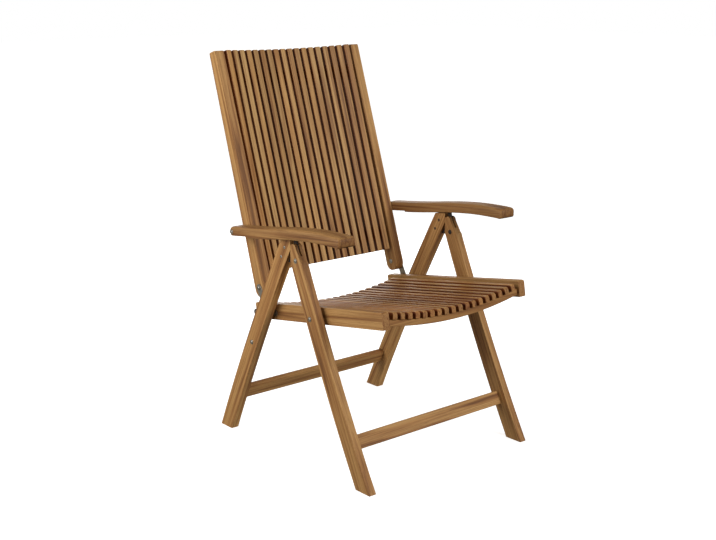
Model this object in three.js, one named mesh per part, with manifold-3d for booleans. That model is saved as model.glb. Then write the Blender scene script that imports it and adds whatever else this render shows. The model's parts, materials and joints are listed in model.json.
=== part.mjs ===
// Folding armchair in oiled hardwood with a slatted seat and a tall slatted back.
// Millimetres, +Z up. The sitter faces -Y, X runs across and +X is the sitter's left.
// Side positions are measured from the apex, where front and rear legs meet, and from the floor.
import * as THREE from "three";
import { mergeVertices } from "three/addons/utils/BufferGeometryUtils.js";
import Module from "manifold-3d";

const wasm = await Module();
wasm.setup();

// Clearances
const FIT = 0.3;
const PIN_PLAY = 0.3;
const SIDE_PLAY = 0.6;
const ARM_REST_PLAY = 2;
const OVERRUN = 5;

// Legs
const LEG_OUTSIDE = 300;
const LEG_THICKNESS = 23.4;
const LEG_DEPTH_TOP = 46;
const LEG_DEPTH_FOOT = 50;
const LEG_BOW = 8;
const APEX_HEIGHT = 574;
const FRONT_FOOT_AHEAD = 278;
const REAR_FOOT_BEHIND = 354;
const REAR_LEG_TOP_BEHIND = 38;
const REAR_LEG_TOP_RISE = 48;
const BUTT_BEHIND = 23;
const FRONT_HEAD_RISE = 45;
const FRONT_HEAD_CORNER = 12;

// Stretchers
const STRETCHER_HEIGHT = 40;
const STRETCHER_THICKNESS = 20;
const FRONT_STRETCHER_CENTRE_HEIGHT = 115;
const REAR_STRETCHER_CENTRE_HEIGHT = 112;
const STRETCHER_SET_BACK = 7;
const TENON_LENGTH = 12;
const TENON_SHOULDER = 5;

// Hinge plate let into a saw slot in the leg tops
const PLATE_THICKNESS = 4;
const PLATE_RADIUS = 12;
const PLATE_SLOT_REACH = 72;
const PLATE_SLOT_LOW_ANGLE = -54;
const PLATE_SLOT_HIGH_ANGLE = 92;
const UPPER_SCREW_DOWN = 19;
const LOWER_SCREW_DOWN = 47;
const CATCH_BEHIND = 15;
const CATCH_RADIUS = 6;
const CATCH_BITE = 8;

// Pivot pins
const PIN_RADIUS = 4;
const SEAT_PIN_RADIUS = 5;
const COLLAR_RADIUS = 9;
const BOLT_HEAD_RADIUS = 8;
const BOLT_HEAD_HEIGHT = 3;
const BLIND_WALL = 6;

// Seat frame, measured from the pivot in the front legs and turned by the seat's tilt
const SEAT_TILT_ANGLE = 9;
const SEAT_PIVOT_DOWN = 149;
const SEAT_PIVOT_SET_BACK = 5.5;
const FRAME_OUTSIDE = 265;
const RAIL_THICKNESS = 24;
const RAIL_DEPTH = 46;
const RAIL_PIVOT_UP = 20;
const RAIL_FRONT = 257;
const RAIL_REAR = 299;
const RAIL_CORNER = 7;
const SEAT_SAG = 24;
const SEAT_SLAT_COUNT = 18;
const SEAT_SLAT_WIDTH = 16;
const SEAT_END_GAP = 16;
const SEAT_SLAT_HEIGHT = 19;
const SEAT_SLAT_REAR = 254;
const SEAT_SLAT_SET_BACK = 0.5;
const SEAT_SLAT_DROP = 2;
const SLAT_NOSE = 7;
const BATTEN_THICKNESS = 17;
const SEAT_BATTEN_WIDTH = 34;
const SEAT_BATTEN_FRONT_INSET = 7;
const SEAT_BATTEN_REAR_INSET = 10;

// Back frame, measured from its hinge and turned by its lean
const BACK_LEAN_ANGLE = 17.9;
const HINGE_BEHIND = 269.5;
const HINGE_UP = 69;
const STILE_WIDTH = 29;
const STILE_LENGTH = 686;
const STILE_DEPTH_TOP = 31;
const STILE_DEPTH_FOOT = 46;
const STILE_END_DROP = 5;
const STILE_TOP_CORNER = 5;
const BACK_SAG = 22;
const BACK_SLAT_COUNT = 18;
const BACK_SLAT_WIDTH = 18;
const BACK_END_GAP = 9;
const BACK_SLAT_DEPTH = 18;
const BACK_SLAT_START = 39;
const BACK_SLAT_PROUD = 4;
const BACK_BATTEN_WIDTH = 40;
const BACK_BATTEN_LOW_INSET = 34;
const BACK_BATTEN_HIGH_INSET = 60;

// Arms, measured from the bolt through the stile
const ARM_BOLT_UP = 170;
const ARM_INSIDE = 266.6;
const ARM_WIDTH = 54;
const ARM_FLARE = 4;
const ARM_LENGTH = 484;
const ARM_RISE = 48;
const ARM_THICKNESS_REAR = 30;
const ARM_THICKNESS_FRONT = 28;
const ARM_TONGUE_LENGTH = 78;
const ARM_TONGUE_STEP = 4;
const ARM_NOSE_CORNER = 11;
const ARM_NOSE_ROLL = 12;
const ARM_NOSE_ROLL_ANGLE = 70;
const GROOVE_PLAY = 1.5;
const GROOVE_BEHIND_CATCH = 18;
const GROOVE_AHEAD_OF_CATCH = 96;
const GROOVE_ROOF_PLAY = 1.5;

// Links and brackets
const STRAP_THICKNESS = 3;
const LINK_FOOT_DOWN = 277;
const LINK_HEAD_BEHIND = 250;
const LINK_HEAD_DOWN = 15.5;
const LINK_RADIUS = 9;
const LINK_STANDOFF = 2.7;
const BRACKET_RADIUS = 11;
const BRACKET_FOOT_BEHIND = 247;
const BRACKET_FOOT_UP = 10;
const BRACKET_TOE_BEHIND = 205;

// Shares that shape curves
const CURVE_STEPS = 12;
const ARC_STEPS = 20;
const ARM_CENTRE_SHARES = [[0, 0], [0.267, 0.318], [0.534, 0.716], [0.748, 0.943], [0.92, 1], [1, 0.98]];

const LEG_INSIDE = LEG_OUTSIDE - LEG_THICKNESS;
const RAIL_INSIDE = FRAME_OUTSIDE - RAIL_THICKNESS;
const STILE_INSIDE = FRAME_OUTSIDE - STILE_WIDTH;
const BRACKET_INSIDE = FRAME_OUTSIDE + FIT;
const BRACKET_OUTSIDE = BRACKET_INSIDE + STRAP_THICKNESS;
const LINK_INSIDE = BRACKET_OUTSIDE + LINK_STANDOFF;
const LINK_OUTSIDE = LINK_INSIDE + STRAP_THICKNESS;
const RAIL_TOP = RAIL_DEPTH - RAIL_PIVOT_UP;
const RAIL_BOTTOM = -RAIL_PIVOT_UP;
const ARM_OUTSIDE = ARM_INSIDE + ARM_WIDTH;

const TEAK = new THREE.Color(0.52, 0.33, 0.17);
const STEEL = new THREE.Color(0.42, 0.42, 0.43);

function wood() {
  return new THREE.MeshStandardMaterial({ color: TEAK, roughness: 0.62, metalness: 0 });
}

function steel() {
  return new THREE.MeshStandardMaterial({ color: STEEL, roughness: 0.35, metalness: 1 });
}

// Solids: closed geometry to and from the boolean library
function solidOf(geometry) {
  const bare = geometry.clone();
  bare.deleteAttribute("normal");
  bare.deleteAttribute("uv");
  const merged = mergeVertices(bare);
  const vertProperties = Float32Array.from(merged.attributes.position.array);
  const triVerts = Uint32Array.from(merged.index.array);
  return new wasm.Manifold(new wasm.Mesh({ numProp: 3, vertProperties, triVerts }));
}

function geometryOf(solid) {
  const mesh = solid.getMesh();
  const geometry = new THREE.BufferGeometry();
  geometry.setAttribute("position", new THREE.BufferAttribute(Float32Array.from(mesh.vertProperties), 3));
  geometry.setIndex(new THREE.BufferAttribute(Uint32Array.from(mesh.triVerts), 1));
  geometry.computeVertexNormals();
  return geometry;
}

function meshOf(name, solid, material) {
  const mesh = new THREE.Mesh(geometryOf(solid), material);
  mesh.name = name;
  return mesh;
}

// An outline drawn in one plane and pushed along the third axis, between a low and a high value
function slab(outline, low, high, basis) {
  const shape = new THREE.Shape(outline.map(([u, v]) => new THREE.Vector2(u, v)));
  const geometry = new THREE.ExtrudeGeometry(shape, { depth: high - low, bevelEnabled: false });
  geometry.translate(0, 0, low);
  geometry.applyMatrix4(basis);
  return solidOf(geometry);
}

const AXIS_X = new THREE.Vector3(1, 0, 0);
const AXIS_Y = new THREE.Vector3(0, 1, 0);
const AXIS_Z = new THREE.Vector3(0, 0, 1);
const SIDE_BASIS = new THREE.Matrix4().makeBasis(AXIS_Y, AXIS_Z, AXIS_X);
const PLAN_BASIS = new THREE.Matrix4().makeBasis(AXIS_X, AXIS_Y, AXIS_Z);
const FRONT_BASIS = new THREE.Matrix4().makeBasis(AXIS_X, AXIS_Z, AXIS_Y.clone().negate());

// Side outlines hold [y, z] pairs and run between two distances from the middle, on one side
function sideSlab(outline, inner, outer, side) {
  const low = side > 0 ? inner : -outer;
  const high = side > 0 ? outer : -inner;
  return slab(outline, low, high, SIDE_BASIS);
}

function planSlab(outline, low, high) {
  return slab(outline, low, high, PLAN_BASIS);
}

// Front outlines hold [x, z] pairs and run between two values of y
function frontSlab(outline, low, high) {
  return slab(outline, -high, -low, FRONT_BASIS);
}

function rectangle(low, high, bottom, top) {
  return [[low, bottom], [high, bottom], [high, top], [low, top]];
}

function arcPoints(centre, radius, from, to, steps) {
  const points = [];
  for (let step = 0; step <= steps; step += 1) {
    const angle = THREE.MathUtils.degToRad(from + ((to - from) * step) / steps);
    points.push([centre[0] + radius * Math.cos(angle), centre[1] + radius * Math.sin(angle)]);
  }
  return points;
}

// A bar with two round ends, from one point to another
function capsule(start, end, radius) {
  const heading = THREE.MathUtils.radToDeg(Math.atan2(end[1] - start[1], end[0] - start[0]));
  const far = arcPoints(end, radius, heading - 90, heading + 90, CURVE_STEPS);
  const near = arcPoints(start, radius, heading + 90, heading + 270, CURVE_STEPS);
  return far.concat(near);
}

function disc(centre, radius) {
  return arcPoints(centre, radius, 0, 360, 2 * CURVE_STEPS).slice(1);
}

function turned([y, z], degrees, [originY, originZ]) {
  const angle = THREE.MathUtils.degToRad(degrees);
  const turnedY = y * Math.cos(angle) - z * Math.sin(angle);
  const turnedZ = y * Math.sin(angle) + z * Math.cos(angle);
  return [originY + turnedY, originZ + turnedZ];
}

// Legs: a gently bowed centre line, widened to both sides and run past the floor before it is cut
function legCentre(top, foot) {
  const chord = new THREE.Vector2(foot[0] - top[0], foot[1] - top[1]);
  const normal = new THREE.Vector2(-chord.y, chord.x).normalize();
  const middle = new THREE.Vector2((top[0] + foot[0]) / 2, (top[1] + foot[1]) / 2);
  const control = middle.addScaledVector(normal, 2 * LEG_BOW);
  return new THREE.QuadraticBezierCurve(new THREE.Vector2(...top), control, new THREE.Vector2(...foot));
}

// The point on a leg's centre line at a given height
function legPointAt(top, foot, height) {
  const curve = legCentre(top, foot);
  let above = 0;
  let below = 1;
  for (let step = 0; step < 2 * ARC_STEPS; step += 1) {
    const middle = (above + below) / 2;
    if (curve.getPoint(middle).y > height) {
      above = middle;
    } else {
      below = middle;
    }
  }
  return { point: curve.getPoint(above), heading: curve.getTangent(above) };
}

function legBand(top, foot) {
  const curve = legCentre(top, foot);
  const ahead = [];
  const behind = [];
  for (let step = 0; step <= CURVE_STEPS; step += 1) {
    const share = step / CURVE_STEPS;
    const point = curve.getPoint(share);
    const heading = curve.getTangent(share);
    const half = THREE.MathUtils.lerp(LEG_DEPTH_TOP, LEG_DEPTH_FOOT, share) / 2;
    if (step === 0) {
      point.addScaledVector(heading, -LEG_DEPTH_TOP);
    }
    if (step === CURVE_STEPS) {
      point.addScaledVector(heading, LEG_DEPTH_FOOT);
    }
    ahead.push([point.x + heading.y * half, point.y - heading.x * half]);
    behind.push([point.x - heading.y * half, point.y + heading.x * half]);
  }
  return ahead.concat(behind.reverse());
}

function floorCut(side) {
  const reach = 2 * APEX_HEIGHT;
  return sideSlab(rectangle(-reach, reach, -reach, 0), LEG_INSIDE - OVERRUN, LEG_OUTSIDE + OVERRUN, side);
}

function pin(centre, radius, inner, outer, side) {
  return sideSlab(disc(centre, radius), inner, outer, side);
}

// Main points in the side view
const APEX = [0, APEX_HEIGHT];
const FRONT_LEG_TOP = APEX;
const FRONT_LEG_FOOT = [-FRONT_FOOT_AHEAD, 0];
const REAR_LEG_TOP = [REAR_LEG_TOP_BEHIND, APEX_HEIGHT + REAR_LEG_TOP_RISE];
const REAR_LEG_FOOT = [REAR_FOOT_BEHIND, 0];
const SEAT_PIVOT = pointOnLeg(FRONT_LEG_TOP, FRONT_LEG_FOOT, SEAT_PIVOT_DOWN, SEAT_PIVOT_SET_BACK);
const HINGE = turned([HINGE_BEHIND, HINGE_UP], -SEAT_TILT_ANGLE, SEAT_PIVOT);
const ARM_BOLT = turned([0, ARM_BOLT_UP], -BACK_LEAN_ANGLE, HINGE);
const LINK_FOOT = pointOnLeg(REAR_LEG_TOP, REAR_LEG_FOOT, LINK_FOOT_DOWN + REAR_LEG_TOP_RISE, 0);
const LINK_HEAD = turned([LINK_HEAD_BEHIND, -LINK_HEAD_DOWN], -SEAT_TILT_ANGLE, SEAT_PIVOT);
const UPPER_SCREW = pointOnLeg(REAR_LEG_TOP, REAR_LEG_FOOT, UPPER_SCREW_DOWN, 0);
const LOWER_SCREW = pointOnLeg(REAR_LEG_TOP, REAR_LEG_FOOT, LOWER_SCREW_DOWN, 0);

function pointOnLeg(top, foot, down, setBack) {
  const { point } = legPointAt(top, foot, top[1] - down);
  return [point.x + setBack, point.y];
}

// Where a leg's centre line is at the stretcher's height, and which way it leans there
function stretcherSeat(top, foot, height) {
  const { point, heading } = legPointAt(top, foot, height);
  const lean = THREE.MathUtils.radToDeg(Math.atan2(heading.x, -heading.y));
  return { centre: [point.x, point.y], lean };
}

function stretcherSection(seat, inset) {
  const halfThick = STRETCHER_THICKNESS / 2 - inset;
  const halfHigh = STRETCHER_HEIGHT / 2 - inset;
  const low = STRETCHER_SET_BACK - halfThick;
  const high = STRETCHER_SET_BACK + halfThick;
  const corners = rectangle(low, high, -halfHigh, halfHigh);
  return corners.map((corner) => turned(corner, seat.lean, seat.centre));
}

function stretcher(name, seat) {
  const halfSpan = LEG_INSIDE - FIT;
  const bar = slab(stretcherSection(seat, 0), -halfSpan, halfSpan, SIDE_BASIS);
  const halfTenon = LEG_INSIDE + TENON_LENGTH;
  const tenon = slab(stretcherSection(seat, TENON_SHOULDER), -halfTenon, halfTenon, SIDE_BASIS);
  return meshOf(name, bar.add(tenon), wood());
}

function mortise(seat, side) {
  const outline = stretcherSection(seat, TENON_SHOULDER - FIT);
  return sideSlab(outline, LEG_INSIDE - OVERRUN, LEG_INSIDE + TENON_LENGTH + FIT, side);
}

const FRONT_STRETCHER_SEAT = stretcherSeat(FRONT_LEG_TOP, FRONT_LEG_FOOT, FRONT_STRETCHER_CENTRE_HEIGHT);
const REAR_STRETCHER_SEAT = stretcherSeat(REAR_LEG_TOP, REAR_LEG_FOOT, REAR_STRETCHER_CENTRE_HEIGHT);
const LEG_MIDDLE = (LEG_INSIDE + LEG_OUTSIDE) / 2;

// Arm outline, in side positions from the arm bolt: y is negative towards the front
const ARM_CURVE = new THREE.SplineCurve(
  ARM_CENTRE_SHARES.map(([along, up]) => new THREE.Vector2(-along * ARM_LENGTH, up * ARM_RISE)),
);

function armStation(share, sign) {
  const point = ARM_CURVE.getPoint(share);
  const heading = ARM_CURVE.getTangent(share);
  const half = (sign * THREE.MathUtils.lerp(ARM_THICKNESS_REAR, ARM_THICKNESS_FRONT, share)) / 2;
  return [point.x + heading.y * half, point.y - heading.x * half];
}

function armUndersideAt(y) {
  let low = 0;
  let high = 1;
  for (let step = 0; step < 2 * ARC_STEPS; step += 1) {
    const middle = (low + high) / 2;
    if (armStation(middle, -1)[0] > y - ARM_BOLT[0]) {
      low = middle;
    } else {
      high = middle;
    }
  }
  return ARM_BOLT[1] + armStation(low, -1)[1];
}

const CATCH_CENTRE = [CATCH_BEHIND, armUndersideAt(CATCH_BEHIND) + CATCH_BITE - CATCH_RADIUS];

// The leg's top is level and stays below the arm, with its front corner rounded
function frontHeadOutline() {
  const top = APEX_HEIGHT + FRONT_HEAD_RISE;
  const radius = FRONT_HEAD_CORNER;
  const lean = (FRONT_HEAD_RISE * FRONT_FOOT_AHEAD) / APEX_HEIGHT;
  const frontEdge = lean - LEG_DEPTH_TOP / 2;
  const corner = arcPoints([frontEdge + radius, top - radius], radius, 90, 180, CURVE_STEPS / 2);
  const low = APEX_HEIGHT - OVERRUN;
  const rear = [
    [-LEG_DEPTH_TOP, low],
    [LEG_DEPTH_TOP, low],
    [LEG_DEPTH_TOP, top],
  ];
  const front = [
    [frontEdge - lean, APEX_HEIGHT],
    [-LEG_DEPTH_TOP, APEX_HEIGHT],
  ];
  return rear.concat(corner, front);
}

function frontLeg(side) {
  const label = side > 0 ? "left" : "right";
  const band = sideSlab(legBand(FRONT_LEG_TOP, FRONT_LEG_FOOT), LEG_INSIDE, LEG_OUTSIDE, side);
  const reach = 2 * APEX_HEIGHT;
  const lower = sideSlab(rectangle(-reach, reach, 0, APEX_HEIGHT), LEG_INSIDE, LEG_OUTSIDE, side);
  const head = sideSlab(frontHeadOutline(), LEG_INSIDE, LEG_OUTSIDE, side);
  const butt = rectangle(BUTT_BEHIND - FIT / 2, reach, APEX_HEIGHT - LEG_DEPTH_TOP, reach);
  const buttCut = sideSlab(butt, LEG_INSIDE - OVERRUN, LEG_OUTSIDE + OVERRUN, side);
  const halfSlot = PLATE_THICKNESS / 2 + SIDE_PLAY;
  const slotInner = LEG_MIDDLE - halfSlot;
  const slotOuter = LEG_MIDDLE + halfSlot;
  const sweep = arcPoints(APEX, PLATE_SLOT_REACH, PLATE_SLOT_LOW_ANGLE, PLATE_SLOT_HIGH_ANGLE, ARC_STEPS);
  const slotRadius = PLATE_RADIUS + SIDE_PLAY;
  const slot = sideSlab([APEX].concat(sweep), slotInner, slotOuter, side)
    .add(sideSlab(capsule(APEX, sweep[0], slotRadius), slotInner, slotOuter, side))
    .add(sideSlab(capsule(APEX, sweep[ARC_STEPS], slotRadius), slotInner, slotOuter, side));
  const pivotPin = pin(APEX, PIN_RADIUS, slotInner - FIT, slotOuter + FIT, side);
  const seatPin = pin(SEAT_PIVOT, SEAT_PIN_RADIUS, RAIL_INSIDE + FIT, LEG_INSIDE + FIT, side);
  const collar = pin(SEAT_PIVOT, COLLAR_RADIUS, FRAME_OUTSIDE + FIT, LEG_INSIDE + FIT, side);
  const solid = band
    .intersect(lower.add(head))
    .subtract(floorCut(side))
    .subtract(buttCut)
    .subtract(slot)
    .subtract(mortise(FRONT_STRETCHER_SEAT, side))
    .add(pivotPin)
    .add(collar)
    .add(seatPin);
  return meshOf(`front_leg_${label}`, solid, wood());
}

// The plate is fixed in the rear leg, turns on the pin in the front leg and ends in the arm's catch
function hingePlate(side) {
  const low = LEG_MIDDLE - PLATE_THICKNESS / 2;
  const high = LEG_MIDDLE + PLATE_THICKNESS / 2;
  const upper = sideSlab(capsule(APEX, UPPER_SCREW, PLATE_RADIUS), low, high, side);
  const lower = sideSlab(capsule(APEX, LOWER_SCREW, PLATE_RADIUS), low, high, side);
  const catchBar = sideSlab(capsule(APEX, CATCH_CENTRE, CATCH_RADIUS), low, high, side);
  const hole = pin(APEX, PIN_RADIUS + PIN_PLAY, low - OVERRUN, high + OVERRUN, side);
  return upper.add(lower).add(catchBar).subtract(hole);
}

function belowArm(y) {
  return [y, armUndersideAt(y) - ARM_REST_PLAY];
}

function rearLeg(side) {
  const label = side > 0 ? "left" : "right";
  const band = sideSlab(legBand(REAR_LEG_TOP, REAR_LEG_FOOT), LEG_INSIDE, LEG_OUTSIDE, side);
  const reach = 2 * APEX_HEIGHT;
  const inner = LEG_INSIDE - OVERRUN;
  const outer = LEG_OUTSIDE + OVERRUN;
  const buttEdge = BUTT_BEHIND + FIT / 2;
  const buttCut = sideSlab(rectangle(-reach, buttEdge, 0, reach), inner, outer, side);
  const buttTop = belowArm(buttEdge - LEG_DEPTH_TOP);
  const rearTop = belowArm(buttEdge + 2 * LEG_DEPTH_TOP);
  const above = [buttTop, rearTop, [rearTop[0], reach], [buttTop[0], reach]];
  const topCut = sideSlab(above, inner, outer, side);
  const collar = pin(LINK_FOOT, COLLAR_RADIUS, LINK_OUTSIDE + FIT, LEG_INSIDE + FIT, side);
  const linkPin = pin(LINK_FOOT, PIN_RADIUS, LINK_INSIDE, LEG_INSIDE + FIT, side);
  const solid = band
    .subtract(floorCut(side))
    .subtract(buttCut)
    .subtract(topCut)
    .subtract(mortise(REAR_STRETCHER_SEAT, side))
    .add(hingePlate(side))
    .add(collar)
    .add(linkPin);
  return meshOf(`rear_leg_${label}`, solid, wood());
}

// Seat pieces, in the seat's own frame
function railOutline() {
  const top = RAIL_TOP;
  const rearTop = arcPoints([RAIL_REAR - RAIL_CORNER, top - RAIL_CORNER], RAIL_CORNER, 0, 90, 3);
  const frontTop = arcPoints([-RAIL_FRONT + RAIL_CORNER, top - RAIL_CORNER], RAIL_CORNER, 90, 180, 3);
  return [[-RAIL_FRONT, RAIL_BOTTOM], [RAIL_REAR, RAIL_BOTTOM]].concat(rearTop, frontTop);
}

function seatRail(side) {
  const label = side > 0 ? "left" : "right";
  const bar = sideSlab(railOutline(), RAIL_INSIDE, FRAME_OUTSIDE, side);
  const radius = SEAT_PIN_RADIUS + PIN_PLAY;
  const hole = pin([0, 0], radius, RAIL_INSIDE - OVERRUN, FRAME_OUTSIDE + OVERRUN, side);
  return meshOf(`seat_rail_${label}`, bar.subtract(hole), wood());
}

// Dish of seat and back: how far a slat lies below the edge, and the slope there
function dish(x, halfWidth, sag) {
  return { depth: sag * (1 - (x / halfWidth) ** 2), slope: (2 * sag * x) / halfWidth ** 2 };
}

// Slats spread evenly between two side pieces, with a gap of their own beside those
function slatRow(prefix, [count, width, halfWidth, endGap], make) {
  const slats = [];
  const pitch = (2 * (halfWidth - endGap) - width) / (count - 1);
  for (let index = 0; index < count; index += 1) {
    const x = (index - (count - 1) / 2) * pitch;
    const mesh = make(x);
    mesh.name = `${prefix}_${String(index + 1).padStart(2, "0")}`;
    slats.push(mesh);
  }
  return slats;
}

function seatSlat(x) {
  const { depth, slope } = dish(x, RAIL_INSIDE, SEAT_SAG);
  const front = -RAIL_FRONT + SEAT_SLAT_SET_BACK;
  const nose = arcPoints([front + SLAT_NOSE, -SLAT_NOSE], SLAT_NOSE, 90, 180, 4);
  const outline = [[front, -SEAT_SLAT_HEIGHT], [SEAT_SLAT_REAR, -SEAT_SLAT_HEIGHT], [SEAT_SLAT_REAR, 0]];
  const solid = slab(outline.concat(nose), -SEAT_SLAT_WIDTH / 2, SEAT_SLAT_WIDTH / 2, SIDE_BASIS);
  const mesh = meshOf("seat_slat", solid, wood());
  mesh.position.set(x, 0, RAIL_TOP - SEAT_SLAT_DROP - depth);
  mesh.rotation.y = -Math.atan(slope);
  return mesh;
}

// A curved batten: its face runs parallel to the dish, behind the slats
function battenOutline(halfWidth, sag, behind) {
  const face = [];
  const reverse = [];
  for (let step = 0; step <= ARC_STEPS; step += 1) {
    const x = halfWidth * ((2 * step) / ARC_STEPS - 1);
    const { depth, slope } = dish(x, halfWidth, sag);
    const angle = Math.atan(slope);
    const far = behind + BATTEN_THICKNESS;
    face.push([x + behind * Math.sin(angle), -depth - behind * Math.cos(angle)]);
    reverse.push([x + far * Math.sin(angle), -depth - far * Math.cos(angle)]);
  }
  return reverse.concat(face.reverse());
}

function seatBatten(name, front) {
  const outline = battenOutline(RAIL_INSIDE, SEAT_SAG, SEAT_SLAT_HEIGHT + FIT);
  const rear = front + SEAT_BATTEN_WIDTH;
  const halfSpan = RAIL_INSIDE - FIT;
  const span = frontSlab(rectangle(-halfSpan, halfSpan, -halfSpan, halfSpan), front, rear);
  const mesh = meshOf(name, frontSlab(outline, front, rear).intersect(span), wood());
  mesh.position.z = RAIL_TOP - SEAT_SLAT_DROP;
  return mesh;
}

function hingeBracket(side) {
  const label = side > 0 ? "left" : "right";
  const foot = [BRACKET_FOOT_BEHIND, BRACKET_FOOT_UP];
  const toe = [BRACKET_TOE_BEHIND, 0];
  const hinge = [HINGE_BEHIND, HINGE_UP];
  const upright = sideSlab(capsule(foot, hinge, BRACKET_RADIUS), BRACKET_INSIDE, BRACKET_OUTSIDE, side);
  const base = sideSlab(capsule(toe, foot, BRACKET_RADIUS), BRACKET_INSIDE, BRACKET_OUTSIDE, side);
  const radius = PIN_RADIUS + PIN_PLAY;
  const hole = pin(hinge, radius, BRACKET_INSIDE - OVERRUN, BRACKET_OUTSIDE + OVERRUN, side);
  return meshOf(`hinge_bracket_${label}`, upright.add(base).subtract(hole), steel());
}

// Back pieces, in the back's own frame: z runs up the stile and y points behind it
function stileOutline() {
  const halfTop = STILE_DEPTH_TOP / 2;
  const halfFoot = STILE_DEPTH_FOOT / 2;
  const corner = STILE_TOP_CORNER;
  const foot = arcPoints([0, -STILE_END_DROP], halfFoot, 180, 360, CURVE_STEPS);
  const rearTop = arcPoints([halfTop - corner, STILE_LENGTH - corner], corner, 0, 90, 3);
  const frontTop = arcPoints([-halfTop + corner, STILE_LENGTH - corner], corner, 90, 180, 3);
  return foot.concat(rearTop, frontTop);
}

function backStile(side) {
  const label = side > 0 ? "left" : "right";
  const bar = sideSlab(stileOutline(), STILE_INSIDE, FRAME_OUTSIDE, side);
  const radius = PIN_RADIUS + PIN_PLAY;
  const inner = STILE_INSIDE - OVERRUN;
  const outer = FRAME_OUTSIDE + OVERRUN;
  const hingeHole = pin([0, 0], radius, inner, outer, side);
  const armHole = pin([0, ARM_BOLT_UP], radius, STILE_INSIDE + BLIND_WALL, outer, side);
  return meshOf(`back_stile_${label}`, bar.subtract(hingeHole).subtract(armHole), wood());
}

const BACK_FACE = -STILE_DEPTH_TOP / 2 - BACK_SLAT_PROUD;

function backSlat(x) {
  const { depth, slope } = dish(x, STILE_INSIDE, BACK_SAG);
  const outline = rectangle(0, BACK_SLAT_DEPTH, BACK_SLAT_START, STILE_LENGTH);
  const solid = slab(outline, -BACK_SLAT_WIDTH / 2, BACK_SLAT_WIDTH / 2, SIDE_BASIS);
  const mesh = meshOf("back_slat", solid, wood());
  mesh.position.set(x, BACK_FACE + depth, 0);
  mesh.rotation.z = -Math.atan(slope);
  return mesh;
}

function backBatten(name, bottom) {
  const outline = battenOutline(STILE_INSIDE, BACK_SAG, BACK_SLAT_DEPTH + FIT);
  const plan = outline.map(([x, y]) => [x, -y]).reverse();
  const top = bottom + BACK_BATTEN_WIDTH;
  const halfSpan = STILE_INSIDE - FIT;
  const span = planSlab(rectangle(-halfSpan, halfSpan, -halfSpan, halfSpan), bottom, top);
  const mesh = meshOf(name, planSlab(plan, bottom, top).intersect(span), wood());
  mesh.position.y = BACK_FACE;
  return mesh;
}

// Arms, in a frame at the arm bolt that stays level
function armSideOutline() {
  const radius = ARM_THICKNESS_REAR / 2;
  const heel = arcPoints([0, 0], radius, -90, 90, CURVE_STEPS);
  const top = [];
  const bottom = [];
  for (let step = 1; step <= CURVE_STEPS; step += 1) {
    top.push(armStation(step / CURVE_STEPS, 1));
    bottom.push(armStation(step / CURVE_STEPS, -1));
  }
  const under = bottom.pop()[1];
  const tip = -ARM_LENGTH - OVERRUN;
  const reach = ARM_NOSE_ROLL * Math.sin(THREE.MathUtils.degToRad(ARM_NOSE_ROLL_ANGLE));
  const centre = [reach - ARM_LENGTH, under + ARM_NOSE_ROLL];
  const roll = arcPoints(centre, ARM_NOSE_ROLL, 270 - ARM_NOSE_ROLL_ANGLE, 270, CURVE_STEPS);
  const front = [[tip, top[CURVE_STEPS - 1][1]], [tip, roll[0][1]]];
  return heel.concat(top, front, roll, bottom.reverse());
}

function armPlanOutline(side) {
  const rear = ARM_THICKNESS_REAR;
  const front = -ARM_LENGTH;
  const flareStart = front / 2;
  const corner = ARM_NOSE_CORNER;
  const flareEnd = front + 2 * corner;
  const inner = ARM_INSIDE;
  const outer = ARM_OUTSIDE + ARM_FLARE;
  const innerCorner = arcPoints([inner + corner, front + corner], corner, 180, 270, CURVE_STEPS);
  const outerCorner = arcPoints([outer - corner, front + corner], corner, 270, 360, CURVE_STEPS);
  const outerEdge = [[outer, flareEnd], [ARM_OUTSIDE, flareStart], [ARM_OUTSIDE, rear]];
  const outline = [[inner, rear]].concat(innerCorner, outerCorner, outerEdge);
  return side > 0 ? outline : outline.map(([x, y]) => [-x, y]).reverse();
}

function arm(side) {
  const label = side > 0 ? "left" : "right";
  const reach = ARM_WIDTH;
  const profile = sideSlab(armSideOutline(), ARM_INSIDE - reach, ARM_OUTSIDE + reach, side);
  const plan = planSlab(armPlanOutline(side), -reach, ARM_RISE + reach);
  const stepEnd = -ARM_TONGUE_LENGTH;
  const stepTop = ARM_CURVE.getPoint(0).y - ARM_THICKNESS_REAR / 2 + ARM_TONGUE_STEP;
  const slope = Math.atan2(-ARM_CURVE.getTangent(0).y, -ARM_CURVE.getTangent(0).x);
  const stepOutline = rectangle(stepEnd, reach, stepTop - reach, stepTop);
  const degrees = THREE.MathUtils.radToDeg(slope);
  const step = sideSlab(
    stepOutline.map((corner) => turned(corner, degrees, [0, 0])),
    ARM_INSIDE - reach,
    ARM_OUTSIDE + reach,
    side,
  );
  const catchY = CATCH_CENTRE[0] - ARM_BOLT[0];
  const grooveRear = catchY + GROOVE_BEHIND_CATCH;
  const grooveFront = catchY - GROOVE_AHEAD_OF_CATCH;
  const roof = CATCH_BITE + GROOVE_ROOF_PLAY;
  const rearRoof = armUndersideAt(grooveRear + ARM_BOLT[0]) - ARM_BOLT[1];
  const frontRoof = armUndersideAt(grooveFront + ARM_BOLT[0]) - ARM_BOLT[1];
  const groove = [
    [grooveFront, frontRoof - reach],
    [grooveRear, rearRoof - reach],
    [grooveRear, rearRoof + roof],
    [grooveFront, frontRoof + roof],
  ];
  const halfGroove = PLATE_THICKNESS / 2 + GROOVE_PLAY;
  const grooveCut = sideSlab(groove, LEG_MIDDLE - halfGroove, LEG_MIDDLE + halfGroove, side);
  const hole = pin([0, 0], PIN_RADIUS + PIN_PLAY, ARM_INSIDE - reach, ARM_OUTSIDE + reach, side);
  const solid = profile.intersect(plan).subtract(step).subtract(grooveCut).subtract(hole);
  return meshOf(`arm_${label}`, solid, wood());
}

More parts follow.
